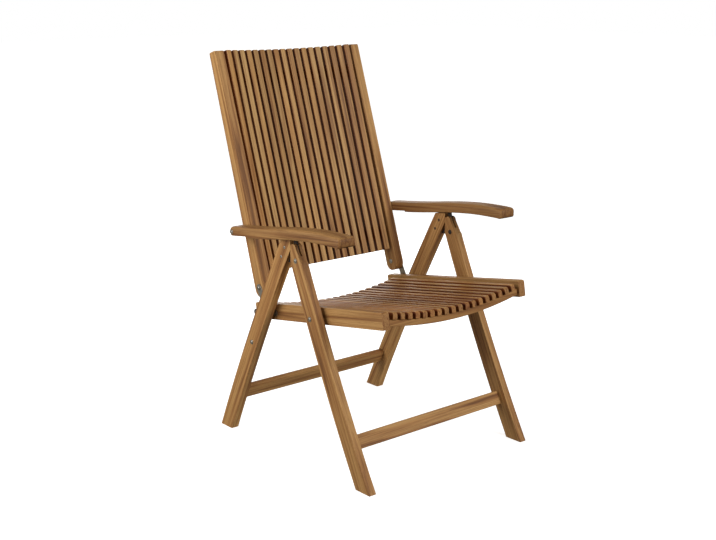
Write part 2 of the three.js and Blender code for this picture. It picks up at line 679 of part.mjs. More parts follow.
// Links: their head only faces the bracket, where the closed loop of links is left open
function link(side) {
  const label = side > 0 ? "left" : "right";
  const bar = sideSlab(capsule(LINK_FOOT, LINK_HEAD, LINK_RADIUS), LINK_INSIDE, LINK_OUTSIDE, side);
  const rivet = pin(LINK_HEAD, PIN_RADIUS, BRACKET_OUTSIDE + FIT, LINK_OUTSIDE, side);
  const hole = pin(LINK_FOOT, PIN_RADIUS + PIN_PLAY, LINK_INSIDE - OVERRUN, LINK_OUTSIDE + OVERRUN, side);
  return meshOf(`link_${label}`, bar.add(rivet).subtract(hole), steel());
}

// The hinge bolt goes right through and has a head outside and a nut inside
function hingeBolt(side) {
  const label = side > 0 ? "left" : "right";
  const inner = STILE_INSIDE - FIT;
  const outer = BRACKET_OUTSIDE + FIT;
  const shank = pin([0, 0], PIN_RADIUS, inner, outer, side);
  const head = pin([0, 0], BOLT_HEAD_RADIUS, outer, outer + BOLT_HEAD_HEIGHT, side);
  const nut = pin([0, 0], BOLT_HEAD_RADIUS, inner - BOLT_HEAD_HEIGHT, inner, side);
  return meshOf(`hinge_bolt_${label}`, shank.add(head).add(nut), steel());
}

// The arm bolt ends inside the stile and carries a washer between stile and arm
function armBolt(side) {
  const label = side > 0 ? "left" : "right";
  const outer = ARM_OUTSIDE + FIT;
  const shank = pin([0, 0], PIN_RADIUS, STILE_INSIDE + BLIND_WALL + FIT, outer, side);
  const head = pin([0, 0], BOLT_HEAD_RADIUS, outer, outer + BOLT_HEAD_HEIGHT, side);
  const washer = pin([0, 0], COLLAR_RADIUS, FRAME_OUTSIDE + FIT, ARM_INSIDE - FIT, side);
  return meshOf(`arm_bolt_${label}`, shank.add(head).add(washer), steel());
}

function placedGroup([y, z], degrees, meshes) {
  const group = new THREE.Group();
  group.position.set(0, y, z);
  group.rotation.x = THREE.MathUtils.degToRad(degrees);
  group.add(...meshes);
  return group;
}

const SIDES = [1, -1];

function legGroup() {
  const front = SIDES.map(frontLeg).concat(stretcher("front_stretcher", FRONT_STRETCHER_SEAT));
  const rear = SIDES.map(rearLeg).concat(stretcher("rear_stretcher", REAR_STRETCHER_SEAT));
  return placedGroup([0, 0], 0, front.concat(rear, SIDES.map(link)));
}

function seatGroup() {
  const frontBatten = seatBatten("seat_batten_front", -RAIL_FRONT + SEAT_BATTEN_FRONT_INSET);
  const rearStart = SEAT_SLAT_REAR - SEAT_BATTEN_REAR_INSET - SEAT_BATTEN_WIDTH;
  const rearBatten = seatBatten("seat_batten_rear", rearStart);
  const row = [SEAT_SLAT_COUNT, SEAT_SLAT_WIDTH, RAIL_INSIDE, SEAT_END_GAP];
  const slats = slatRow("seat_slat", row, seatSlat);
  const pieces = SIDES.map(seatRail).concat(SIDES.map(hingeBracket), frontBatten, rearBatten, slats);
  return placedGroup(SEAT_PIVOT, -SEAT_TILT_ANGLE, pieces);
}

function backGroup() {
  const lower = backBatten("back_batten_lower", BACK_SLAT_START + BACK_BATTEN_LOW_INSET);
  const upperStart = STILE_LENGTH - BACK_BATTEN_HIGH_INSET - BACK_BATTEN_WIDTH;
  const upper = backBatten("back_batten_upper", upperStart);
  const row = [BACK_SLAT_COUNT, BACK_SLAT_WIDTH, STILE_INSIDE, BACK_END_GAP];
  const slats = slatRow("back_slat", row, backSlat);
  const pieces = SIDES.map(backStile).concat(SIDES.map(hingeBolt), lower, upper, slats);
  return placedGroup(HINGE, -BACK_LEAN_ANGLE, pieces);
}

function armGroup() {
  return placedGroup(ARM_BOLT, 0, SIDES.map(arm).concat(SIDES.map(armBolt)));
}

// The whole chair, moved so that its origin is under the middle of its bounding box
const chair = new THREE.Group();
chair.add(legGroup(), seatGroup(), backGroup(), armGroup());
const bounds = new THREE.Box3().setFromObject(chair, true);
chair.position.y = -(bounds.min.y + bounds.max.y) / 2;

export default chair;
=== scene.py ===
"""Dresses the folding teak armchair: eased timber edges, teak grain, steel fittings, stage and camera."""

import json
import math
import random

import bpy
from bpy.props import FloatProperty, FloatVectorProperty, IntProperty, PointerProperty
from mathutils import Matrix, Vector


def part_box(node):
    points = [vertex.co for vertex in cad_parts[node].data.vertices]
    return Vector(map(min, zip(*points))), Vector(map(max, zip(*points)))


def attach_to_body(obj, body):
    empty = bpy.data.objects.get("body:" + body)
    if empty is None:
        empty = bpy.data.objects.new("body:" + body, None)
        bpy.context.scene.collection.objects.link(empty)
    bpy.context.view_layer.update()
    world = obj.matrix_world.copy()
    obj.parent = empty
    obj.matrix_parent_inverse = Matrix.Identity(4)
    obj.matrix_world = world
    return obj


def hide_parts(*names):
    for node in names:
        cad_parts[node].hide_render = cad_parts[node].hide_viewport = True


bl_info = {
    "name": "Folding Armchair",
    "version": (1, 0, 0),
    "blender": (4, 5, 0),
    "location": "View3D > Sidebar > Armchair",
    "description": "Dresses a slatted folding armchair in oiled teak and steel",
    "category": "Object",
}

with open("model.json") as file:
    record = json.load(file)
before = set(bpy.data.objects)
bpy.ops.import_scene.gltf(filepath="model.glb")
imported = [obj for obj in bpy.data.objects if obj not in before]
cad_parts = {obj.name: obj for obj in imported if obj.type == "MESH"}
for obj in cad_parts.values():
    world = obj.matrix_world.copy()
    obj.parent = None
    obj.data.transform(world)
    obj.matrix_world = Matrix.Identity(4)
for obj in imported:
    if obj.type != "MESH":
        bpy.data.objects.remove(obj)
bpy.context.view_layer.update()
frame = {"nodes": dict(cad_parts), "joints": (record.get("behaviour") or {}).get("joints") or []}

# The way along X to each side of the chair
SIDES = {"left": 1.0, "right": -1.0}

# Pivots, used for their places in the side view
JOINTS = {joint["name"]: Vector(joint["pos_m"]) for joint in frame["joints"]}
SEAT_PIVOT = JOINTS["fold"]
APEX = JOINTS["rear_legs_fold"]
LINK_FOOT = JOINTS["link_fold"]
BACK_HINGE = JOINTS["recline"]
ARM_BOLT = JOINTS["arm_recline"]

# Distances from the chair's middle to the faces that carry fittings
LEG_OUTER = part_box("front_leg_left")[1].x
LEG_INNER = 0.2766
LEG_MIDDLE = (LEG_OUTER + LEG_INNER) / 2
RAIL_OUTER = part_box("seat_rail_left")[1].x
RAIL_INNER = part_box("seat_rail_left")[0].x
BRACKET_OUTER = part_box("hinge_bracket_left")[1].x

# Steps back and up from a pivot to the fittings near it
PLATE_SCREW_STEPS = ((0.04874, 0.029), (0.06444, 0.001))
BRACKET_SCREW_STEPS = ((0.2025, -0.0321), (0.2292, -0.0300))
RAIL_STOP_STEP = (0.2940, -0.0490)

# Steel in the legs' own solids: half the thickness of the plates in their tops, with a margin, and
# the collars and pins on their inner faces
PLATE_HALF = 0.0024
COLLAR_RADIUS = 0.0105
COLLAR_START = LEG_INNER + 0.0003

# The arms, and where their undersides step up to the thin rear ends
ARM_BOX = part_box("arm_left")
ARM_STEP = ARM_BOLT.y - 0.078


# Sizes, colours and lights that a user would change


class TeakSettings(bpy.types.PropertyGroup):
    honey: FloatVectorProperty(
        name="Honey",
        description="Lightest colour of the grain",
        subtype="COLOR",
        default=(0.475, 0.248, 0.078),
    )
    amber: FloatVectorProperty(
        name="Amber",
        description="Main colour of the grain",
        subtype="COLOR",
        default=(0.33, 0.146, 0.040),
    )
    umber: FloatVectorProperty(
        name="Umber",
        description="Darkest colour of the grain",
        subtype="COLOR",
        default=(0.17, 0.064, 0.015),
    )
    roughness: FloatProperty(
        name="Roughness", description="How matt the oiled wood is", default=0.55, min=0.0, max=1.0
    )
    relief: FloatProperty(
        name="Relief", description="Strength of the pores' relief", default=0.35, min=0.0, max=1.0
    )


class EdgeSettings(bpy.types.PropertyGroup):
    frame_radius: FloatProperty(
        name="Frame Edges",
        description="Rounding on legs, rails and stiles",
        subtype="DISTANCE",
        default=0.0026,
    )
    slat_radius: FloatProperty(
        name="Slat Edges", description="Rounding on the slats", subtype="DISTANCE", default=0.0022
    )
    arm_top_radius: FloatProperty(
        name="Arm Top", description="Rounding round the top of an arm", subtype="DISTANCE", default=0.010
    )
    arm_foot_radius: FloatProperty(
        name="Arm Underside",
        description="Rounding round the underside of an arm",
        subtype="DISTANCE",
        default=0.0035,
    )
    steel_radius: FloatProperty(
        name="Plate Edges", description="Rounding on steel plates", subtype="DISTANCE", default=0.0006
    )
    segments: IntProperty(name="Segments", description="Facets across a rounded edge", default=3, min=1)


class FittingSettings(bpy.types.PropertyGroup):
    steel: FloatVectorProperty(
        name="Steel",
        description="Colour of bolts, screws and brackets",
        subtype="COLOR",
        default=(0.36, 0.35, 0.33),
    )
    dark_steel: FloatVectorProperty(
        name="Dark Steel",
        description="Colour of the leg plates, collars, rail stops and inner heads",
        subtype="COLOR",
        default=(0.040, 0.034, 0.030),
    )
    head_radius: FloatProperty(
        name="Bolt Head", description="Radius of a bolt head", subtype="DISTANCE", default=0.0052
    )
    head_height: FloatProperty(
        name="Head Height", description="Height of a bolt head", subtype="DISTANCE", default=0.0024
    )
    washer_radius: FloatProperty(
        name="Washer", description="Radius of a washer", subtype="DISTANCE", default=0.0070
    )
    washer_height: FloatProperty(
        name="Washer Thickness", description="Thickness of a washer", subtype="DISTANCE", default=0.0010
    )
    socket_radius: FloatProperty(
        name="Socket", description="Radius of a bolt's socket", subtype="DISTANCE", default=0.0024
    )
    screw_radius: FloatProperty(
        name="Screw Head", description="Radius of a screw head", subtype="DISTANCE", default=0.0043
    )


class StageSettings(bpy.types.PropertyGroup):
    floor: FloatVectorProperty(
        name="Floor", description="Colour of the floor", subtype="COLOR", default=(0.88, 0.88, 0.88)
    )
    floor_glow: FloatProperty(name="Floor Glow", description="Own light of the floor", default=0.66)
    sky: FloatProperty(name="Sky", description="Strength of the light from all round", default=0.24)
    sheen: FloatVectorProperty(
        name="Sheen",
        description="Light of the surroundings in reflections",
        subtype="COLOR",
        default=(0.40, 0.35, 0.26),
    )
    front_light: FloatProperty(
        name="Front Light", description="Strength of the broad light in front", default=1.9
    )
    side_light: FloatProperty(
        name="Side Light", description="Power of the soft light at the side", default=29.0
    )
    back_light: FloatProperty(
        name="Back Light", description="Power of the soft light behind", default=22.0
    )
    camera_place: FloatVectorProperty(
        name="Camera",
        description="Place of the camera",
        subtype="TRANSLATION",
        default=(-2.176, -2.5543, 1.322),
    )
    camera_turn: FloatVectorProperty(
        name="Camera Turn",
        description="Tilt, roll and heading of the camera",
        subtype="EULER",
        default=(math.radians(76.064), 0.0, math.radians(-40.085)),
    )
    lens: FloatProperty(name="Lens", description="Focal length on a 36 mm wide sensor", default=60.17)


class ArmchairSettings(bpy.types.PropertyGroup):
    teak: PointerProperty(type=TeakSettings)
    edges: PointerProperty(type=EdgeSettings)
    fittings: PointerProperty(type=FittingSettings)
    stage: PointerProperty(type=StageSettings)


def settings():
    return bpy.context.scene.armchair


# Materials


def new_material(name):
    """A new material with its tree of nodes and its one shader."""
    material = bpy.data.materials.new(name)
    material.use_nodes = True
    tree = material.node_tree
    tree.nodes.clear()
    output = tree.nodes.new("ShaderNodeOutputMaterial")
    shader = tree.nodes.new("ShaderNodeBsdfPrincipled")
    tree.links.new(shader.outputs["BSDF"], output.inputs["Surface"])
    return material, tree, shader


def set_socket(tree, socket, value):
    """Links a value that comes from a socket, and sets one that is a number or a colour."""
    if isinstance(value, bpy.types.NodeSocket):
        tree.links.new(value, socket)
    elif isinstance(value, (int, float)):
        socket.default_value = value
    else:
        socket.default_value = (*value, 1.0)


def attribute(tree, name, output="Fac"):
    node = tree.nodes.new("ShaderNodeAttribute")
    node.attribute_name = name
    return node.outputs[output]


def object_place(tree):
    """Each point's place in the object's own coordinates."""
    return tree.nodes.new("ShaderNodeTexCoord").outputs["Object"]


def stretched_noise(tree, vector, scale, detail, roughness=0.55, distortion=0.0):
    """Noise whose vector is first multiplied by a scale along each axis."""
    mapping = tree.nodes.new("ShaderNodeMapping")
    mapping.inputs["Scale"].default_value = scale
    noise = tree.nodes.new("ShaderNodeTexNoise")
    noise.inputs["Scale"].default_value = 1.0
    noise.inputs["Detail"].default_value = detail
    noise.inputs["Roughness"].default_value = roughness
    noise.inputs["Distortion"].default_value = distortion
    tree.links.new(vector, mapping.inputs["Vector"])
    tree.links.new(mapping.outputs["Vector"], noise.inputs["Vector"])
    return noise.outputs["Fac"]


def ramp(tree, factor, stops):
    """Colours between stops, each stop a place from 0 to 1 and a colour."""
    node = tree.nodes.new("ShaderNodeValToRGB")
    elements = node.color_ramp.elements
    while len(elements) < len(stops):
        elements.new(0.5)
    for element, (place, colour) in zip(elements, stops):
        element.position = place
        element.color = (*colour, 1.0)
    tree.links.new(factor, node.inputs["Fac"])
    return node.outputs["Color"]


def grey(value):
    return (value, value, value)


def mix(tree, kind, factor, first, second):
    """Mixes two colours. The numbers are those of the node's sockets for colours."""
    node = tree.nodes.new("ShaderNodeMix")
    node.data_type = "RGBA"
    node.blend_type = kind
    set_socket(tree, node.inputs[0], factor)
    set_socket(tree, node.inputs[6], first)
    set_socket(tree, node.inputs[7], second)
    return node.outputs[2]


def maths(tree, operation, *values):
    node = tree.nodes.new("ShaderNodeMath")
    node.operation = operation
    for socket, value in zip(node.inputs, values):
        set_socket(tree, socket, value)
    return node.outputs[0]


def uneven_roughness(tree, shader, noise, spread, lowest):
    """Roughness that a noise lifts above its lowest value by up to a spread."""
    tree.links.new(maths(tree, "MULTIPLY_ADD", noise, spread, lowest), shader.inputs["Roughness"])


def bump(tree, shader, height, strength, distance):
    node = tree.nodes.new("ShaderNodeBump")
    node.inputs["Strength"].default_value = strength
    node.inputs["Distance"].default_value = distance
    tree.links.new(height, node.inputs["Height"])
    tree.links.new(node.outputs["Normal"], shader.inputs["Normal"])


# Figure, streaks and pores of the wood on the long faces and on the ends: the scale of the noise
# across, through and along the timber, its detail, roughness and distortion
LONG_GRAIN = (
    ((48.0, 60.0, 1.7), 3.0, 0.50, 0.8),
    ((330.0, 380.0, 4.5), 4.0, 0.60, 0.3),
    ((1300.0, 1300.0, 40.0), 2.0, 0.50, 0.0),
)
END_GRAIN = (
    ((160.0, 70.0, 8.0), 4.0, 0.60, 0.6),
    ((600.0, 320.0, 20.0), 3.0, 0.55, 0.0),
    ((1300.0, 1300.0, 60.0), 2.0, 0.55, 0.0),
)

# Where umber, amber, honey and amber again lie in the figure
FIGURE_PLACES = (0.30, 0.43, 0.57, 0.76)

# Tints that the wood's colour is multiplied by, and how far those of the streaks and pores count
STREAK_TINTS = ((0.30, (0.50, 0.40, 0.32)), (0.50, grey(0.97)), (0.70, (1.20, 1.22, 1.24)))
TONE_TINTS = ((0.0, (0.60, 0.56, 0.54)), (0.5, grey(1.0)), (1.0, (1.30, 1.32, 1.34)))
WARMTH_TINTS = ((0.0, (0.98, 1.12, 1.36)), (0.5, grey(1.0)), (1.0, (1.04, 0.88, 0.78)))
PORE_TINTS = ((0.30, (0.45, 0.36, 0.30)), (0.42, grey(1.0)))
# Painted shade: the tint for the slats' side faces in the gaps between slats
GAP_SHADE_TINT = (0.36, 0.145, 0.006)
END_TINT = (0.80, 0.74, 0.70)
STREAK_SHARE = 0.80
PORE_SHARE = 0.60

# Depth of the pores beside that of the streaks, and the level of the oil's gloss
PORE_DEPTH = 0.6
TEAK_GLOSS = 0.34

# Clouds and brush marks of the steel, as for the wood, with the clouds' tints and how far these count
STEEL_CLOUD = ((110.0, 110.0, 110.0), 4.0)
STEEL_BRUSH = ((500.0, 2600.0, 220.0), 2.0)
STEEL_TINTS = ((0.30, (0.60, 0.56, 0.52)), (0.62, grey(1.10)))
CLOUD_SHARE = 0.6


def teak_material(name, grain, end=False):
    """Oiled teak. The grain attribute runs along a timber, and tone and warmth set each timber apart."""
    teak = settings().teak
    material, tree, shader = new_material(name)
    place = attribute(tree, "grain", "Vector")
    figure, streaks, pores = [stretched_noise(tree, place, *noise) for noise in grain]
    colours = (teak.umber, teak.amber, teak.honey, teak.amber)
    base = ramp(tree, figure, [(stop, tuple(colour)) for stop, colour in zip(FIGURE_PLACES, colours)])
    for share, driver, tints in (
        (STREAK_SHARE, streaks, STREAK_TINTS),
        (1.0, attribute(tree, "tone"), TONE_TINTS),
        (1.0, attribute(tree, "warmth"), WARMTH_TINTS),
        (PORE_SHARE, pores, PORE_TINTS),
    ):
        base = mix(tree, "MULTIPLY", share, base, ramp(tree, driver, tints))
    # Painted shade: darkens the faces that lie in the gaps between slats
    base = mix(tree, "MULTIPLY", attribute(tree, "nook"), base, GAP_SHADE_TINT)
    if end:
        base = mix(tree, "MULTIPLY", 1.0, base, END_TINT)
    tree.links.new(base, shader.inputs["Base Color"])
    uneven_roughness(tree, shader, streaks, spread=0.18, lowest=teak.roughness - 0.07)
    shader.inputs["Specular IOR Level"].default_value = TEAK_GLOSS
    height = maths(tree, "MULTIPLY_ADD", pores, PORE_DEPTH, streaks)
    bump(tree, shader, height, strength=teak.relief, distance=0.0005)
    return material


def steel_material(name, colour, roughness, metallic):
    """Brushed and slightly clouded steel, from the object's own coordinates."""
    material, tree, shader = new_material(name)
    place = object_place(tree)
    cloud = stretched_noise(tree, place, *STEEL_CLOUD)
    brush = stretched_noise(tree, place, *STEEL_BRUSH)
    base = mix(tree, "MULTIPLY", CLOUD_SHARE, tuple(colour), ramp(tree, cloud, STEEL_TINTS))
    tree.links.new(base, shader.inputs["Base Color"])
    shader.inputs["Metallic"].default_value = metallic
    uneven_roughness(tree, shader, cloud, spread=0.25, lowest=roughness - 0.12)
    bump(tree, shader, brush, strength=0.12, distance=0.0002)
    return material


def finish_named(name):
    """Makes a finish the first time that a piece asks for it."""
    fittings = settings().fittings
    if name in bpy.data.materials:
        return bpy.data.materials[name]
    if name == "oiled teak":
        return teak_material(name, LONG_GRAIN)
    if name == "teak end grain":
        return teak_material(name, END_GRAIN, end=True)
    if name == "brushed steel":
        return steel_material(name, fittings.steel, roughness=0.40, metallic=1.0)
    if name == "dark steel":
        return steel_material(name, fittings.dark_steel, roughness=0.55, metallic=0.6)
    raise ValueError(f"no finish is called {name}")


# Working on meshes

# Points of a solid closer than this are one, and so are its faces that meet at less than this angle
MERGE_DISTANCE = 0.000002
FLAT_ANGLE = math.radians(0.1)


def deselect_all():
    bpy.ops.object.select_all(action="DESELECT")


def make_active(piece):
    deselect_all()
    piece.select_set(True)
    bpy.context.view_layer.objects.active = piece


def edit(piece, mode="EDGE", select="DESELECT"):
    """Opens one piece in edit mode, with all of it selected or nothing."""
    make_active(piece)
    bpy.ops.object.mode_set(mode="EDIT")
    bpy.ops.mesh.select_mode(type=mode)
    bpy.ops.mesh.select_all(action=select)


def leave_edit():
    bpy.ops.object.mode_set(mode="OBJECT")


def select_edges(piece, test):
    """Opens a piece in edit mode with the edges selected whose middle and two faces pass a test."""
    edit(piece)
    leave_edit()
    mesh = piece.data
    faces_at = {}
    for face in mesh.polygons:
        for key in face.edge_keys:
            faces_at.setdefault(key, []).append(face)
    for edge in mesh.edges:
        pair = faces_at[edge.key]
        middle = (mesh.vertices[edge.vertices[0]].co + mesh.vertices[edge.vertices[1]].co) / 2
        edge.select = len(pair) == 2 and test(middle, pair)
    bpy.ops.object.mode_set(mode="EDIT")


def apply_modifiers(piece):
    make_active(piece)
    for modifier in list(piece.modifiers):
        bpy.ops.object.modifier_apply(modifier=modifier.name)


def round_edges(piece, radius, segments, angle=30.0):
    """Rounds every edge sharper than an angle, and shades the rest smooth."""
    bevel = piece.modifiers.new("Rounded edges", "BEVEL")
    bevel.width = radius
    bevel.segments = segments
    bevel.limit_method = "ANGLE"
    bevel.angle_limit = math.radians(angle)
    bevel.harden_normals = True
    make_active(piece)
    bpy.ops.object.shade_smooth_by_angle(angle=math.radians(angle))
    apply_modifiers(piece)


def copy_of_node(node, name):
    """An own copy of a solid of the frame, with its loose triangles joined to clean faces."""
    piece = bpy.data.objects.new(name, frame["nodes"][node].data.copy())
    bpy.context.scene.collection.objects.link(piece)
    piece.data.materials.clear()
    edit(piece, "VERT", "SELECT")
    bpy.ops.mesh.remove_doubles(threshold=MERGE_DISTANCE)
    bpy.ops.mesh.dissolve_limited(angle_limit=FLAT_ANGLE)
    leave_edit()
    if piece.data.has_custom_normals:
        bpy.ops.mesh.customdata_custom_splitnormals_clear()
    return piece


def attach(piece, body, node=None):
    """Parents a piece to the body it moves with, and hides the node that it stands for, if any."""
    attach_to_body(piece, body)
    if node:
        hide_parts(node)


# Timbers


def lean(degrees):
    """A direction in the side view, leaning back from upright by some degrees."""
    angle = math.radians(degrees)
    return Vector((0.0, math.sin(angle), math.cos(angle)))


# Directions of the grain. Across the chair it runs a little off X, because grain_axes crosses it with X
FRONT_LEG_RUN = lean(25.8)
REAR_LEG_RUN = lean(-26.9)
SEAT_RUN = lean(99.0)
BACK_RUN = lean(17.9)
ARM_RUN = lean(95.5)
CROSS_RUN = Vector((1.0, 0.001, 0.001))

# Tone and warmth of the timbers, both 0 to 1: a high tone is light, and a high warmth is red
TIMBER_TONES = {
    "front_leg": (0.50, 0.40),
    "rear_leg": (0.70, 0.35),
    "front_stretcher": (0.60, 0.30),
    "rear_stretcher": (0.46, 0.45),
    "seat_rail": (0.52, 0.35),
    # The seat battens' low tone is partly their own colour and partly painted shade, for the shade under
    # the seat slats
    "seat_batten": (0.30, 0.50),
    "back_stile": (0.55, 0.35),
    "back_batten": (0.40, 0.45),
    "arm": (0.16, 0.42),
}

# The slats: middle and spread of their tone, its limits, and their warmth in the seat and in the back.
# A slat whose tone is below that of a dark slat gets some more warmth
SLAT_TONE = (0.63, 0.13)
SLAT_TONE_LIMITS = (0.12, 0.90)
SLAT_WARMTH_SPREAD = 0.14
SEAT_SLAT_WARMTH = 0.50
BACK_SLAT_WARMTH = 0.22
DARK_SLAT_TONE = 0.42
DARK_SLAT_WARMTH = 0.3

# How far apart the grain of two timbers may start, how far a face looks along its timber to be end
# grain, and how far it looks sideways to lie in the gap between two slats and get painted shade there
GRAIN_SHIFT = 9.0
END_FACING = 0.8
GAP_SHADE_FACING = 0.25


def add_attribute(mesh, name, kind, domain, key, values):
    """Writes a value for each point or face of a mesh, for its material to read."""
    mesh.attributes.new(name, kind, domain)
    mesh.attributes[name].data.foreach_set(key, values)


def grain_axes(direction):
    """Across, through and along directions of a timber."""
    along = Vector(direction).normalized()
    through = along.cross(Vector((1.0, 0.0, 0.0))).normalized()
    return through.cross(along).normalized(), through, along


def mark_grain(piece, direction, tone, warmth):
    """Writes where each point lies in its timber, and the timber's own tone and warmth."""
    chance = random.Random(piece.name)
    offset = Vector([chance.uniform(-GRAIN_SHIFT, GRAIN_SHIFT) for _ in range(3)])
    axes = grain_axes(direction)
    places = [vertex.co.copy() for vertex in piece.data.vertices]
    grain = [Vector([place.dot(axis) for axis in axes]) + offset for place in places]
    values = [value for place in grain for value in place]
    add_attribute(piece.data, "grain", "FLOAT_VECTOR", "POINT", "vector", values)
    add_attribute(piece.data, "tone", "FLOAT", "POINT", "value", [tone] * len(places))
    add_attribute(piece.data, "warmth", "FLOAT", "POINT", "value", [warmth] * len(places))


def paint_gap_shade(piece, amount):
    """Paints shade on the side faces that a slat turns to its neighbours, in the gaps between slats."""
    room = 1.0 - GAP_SHADE_FACING
    sides = [amount * max(0.0, (abs(face.normal.x) - GAP_SHADE_FACING) / room) for face in piece.data.polygons]
    add_attribute(piece.data, "nook", "FLOAT", "FACE", "value", sides)


def finish_timber(piece, node, body, direction, tone, warmth, nook=0.0):
    """Grain, end grain and ride of one finished timber."""
    mark_grain(piece, direction, tone, warmth)
    # Painted shade on the side faces that lie in the gaps between slats
    paint_gap_shade(piece, nook)
    mesh = piece.data
    mesh.materials.append(finish_named("oiled teak"))
    mesh.materials.append(finish_named("teak end grain"))
    along = Vector(direction).normalized()
    for face in mesh.polygons:
        if abs(face.normal.dot(along)) > END_FACING:
            face.material_index = 1
    attach(piece, body, node)


def dressed_timber(node, body, direction, radius, tone, warmth, nook=0.0):
    """A timber of the frame with eased edges and grain along its length."""
    piece = copy_of_node(node, f"timber_{node}")
    round_edges(piece, radius, settings().edges.segments)
    finish_timber(piece, node, body, direction, tone, warmth, nook)
    return piece


def slat_tone(node, usual_warmth):
    """Tone and warmth of one slat: most are alike, and a few are darker and redder."""
    chance = random.Random(node)
    low, high = SLAT_TONE_LIMITS
    tone = min(high, max(low, chance.gauss(*SLAT_TONE)))
    extra = DARK_SLAT_WARMTH if tone < DARK_SLAT_TONE else 0.0
    return tone, min(1.0, max(0.0, chance.gauss(usual_warmth, SLAT_WARMTH_SPREAD) + extra))


def dress_slats(start, body, direction, usual_warmth):
    """Dresses the slats whose names start alike, with painted shade on the sides where they face each
    other.
    """
    radius = settings().edges.slat_radius
    for node in sorted(frame["nodes"]):
        if node.startswith(start):
            dressed_timber(node, body, direction, radius, *slat_tone(node, usual_warmth), nook=1.0)


def near(point, centre, radius):
    """Whether a point lies within a radius of a pivot in the side view."""
    return math.hypot(point.y - centre.y, point.z - centre.z) < radius


def steel_faces(piece, test):
    """Gives the faces whose corners all pass the test a dark steel finish."""
    mesh = piece.data
    mesh.materials.append(finish_named("dark steel"))
    slot = len(mesh.materials) - 1
    for face in mesh.polygons:
        if all(test(mesh.vertices[index].co) for index in face.vertices):
            face.material_index = slot


def is_plate(co):
    """Whether a point of a leg belongs to the plate let into its top."""
    return abs(abs(co.x) - LEG_MIDDLE) < PLATE_HALF


def is_collar(co, pivot):
    """Whether a point of a leg belongs to the collar or pin on its inner face."""
    return abs(co.x) < COLLAR_START and near(co, pivot, COLLAR_RADIUS)


class ARMCHAIR_OT_legs(bpy.types.Operator):
    """Eases and grains the four legs and the two stretchers"""

    bl_idname = "armchair.legs"
    bl_label = "Legs and Stretchers"

    def execute(self, context):
        radius = settings().edges.frame_radius
        for side in SIDES:
            tones = TIMBER_TONES["front_leg"]
            front = dressed_timber(f"front_leg_{side}", "front_frame", FRONT_LEG_RUN, radius, *tones)
            steel_faces(front, lambda co: is_collar(co, SEAT_PIVOT))
            tones = TIMBER_TONES["rear_leg"]
            rear = dressed_timber(f"rear_leg_{side}", "rear_frame", REAR_LEG_RUN, radius, *tones)
            steel_faces(rear, is_plate)
            steel_faces(rear, lambda co: is_collar(co, LINK_FOOT))
        for node, body in (("front_stretcher", "front_frame"), ("rear_stretcher", "rear_frame")):
            dressed_timber(node, body, CROSS_RUN, radius, *TIMBER_TONES[node])
        return {"FINISHED"}


class ARMCHAIR_OT_seat(bpy.types.Operator):
    """Eases and grains the seat rails, battens and slats"""

    bl_idname = "armchair.seat"
    bl_label = "Seat"

    def execute(self, context):
        edges = settings().edges
        for side in SIDES:
            tones = TIMBER_TONES["seat_rail"]
            dressed_timber(f"seat_rail_{side}", "seat", SEAT_RUN, edges.frame_radius, *tones)
        for place in ("front", "rear"):
            tones = TIMBER_TONES["seat_batten"]
            dressed_timber(f"seat_batten_{place}", "seat", CROSS_RUN, edges.slat_radius, *tones)
        dress_slats("seat_slat_", "seat", SEAT_RUN, SEAT_SLAT_WARMTH)
        return {"FINISHED"}


class ARMCHAIR_OT_back(bpy.types.Operator):
    """Eases and grains the back stiles, battens and slats"""

    bl_idname = "armchair.back"
    bl_label = "Back"

    def execute(self, context):
        edges = settings().edges
        for side in SIDES:
            tones = TIMBER_TONES["back_stile"]
            dressed_timber(f"back_stile_{side}", "back", BACK_RUN, edges.frame_radius, *tones)
        for place in ("lower", "upper"):
            tones = TIMBER_TONES["back_batten"]
            dressed_timber(f"back_batten_{place}", "back", CROSS_RUN, edges.slat_radius, *tones)
        dress_slats("back_slat_", "back", BACK_RUN, BACK_SLAT_WARMTH)
        return {"FINISHED"}


# Facets round the top and the underside of an arm, and the light rounding of its other edges
ARM_TOP_SEGMENTS = 6
ARM_FOOT_SEGMENTS = 4
ARM_EASE = {"radius": 0.001, "segments": 2, "angle": 40.0}

# What counts as the rim of an arm: edges this close to its outline, away from the hole for its bolt
ARM_RIM_MARGIN = 0.016
BOLT_HOLE_MARGIN = 0.006

# How well the normals of two faces in one plane agree, and how near the cut through the bolt its edges lie
ONE_PLANE = 0.999999
CUT_MARGIN = 0.00001

# How far a face of an arm looks up or down to be a top or an underside, backwards to be the heel and
# sideways to be a side, and how little it looks up or down to be upright
LEVEL_FACING = 0.3
HEEL_FACING = 0.2
SIDE_FACING = 0.9
UPRIGHT_TILT = 0.2


class ARMCHAIR_OT_arms(bpy.types.Operator):
    """Rounds the arms, more on top than below, and grains them"""

    bl_idname = "armchair.arms"
    bl_label = "Arms"

    def execute(self, context):
        edges = settings().edges
        for side in SIDES:
            node = f"arm_{side}"
            piece = copy_of_node(node, f"timber_{node}")
            part_across_bolt(piece)
            select_edges(piece, is_top_rim)
            bpy.ops.mesh.bevel(
                offset=edges.arm_top_radius, segments=ARM_TOP_SEGMENTS, clamp_overlap=False
            )
            leave_edit()
            select_edges(piece, is_foot_rim)
            bpy.ops.mesh.bevel(
                offset=edges.arm_foot_radius, segments=ARM_FOOT_SEGMENTS, clamp_overlap=False
            )
            leave_edit()
            round_edges(piece, **ARM_EASE)
            finish_timber(piece, node, "arms", ARM_RUN, *TIMBER_TONES["arm"])
        return {"FINISHED"}


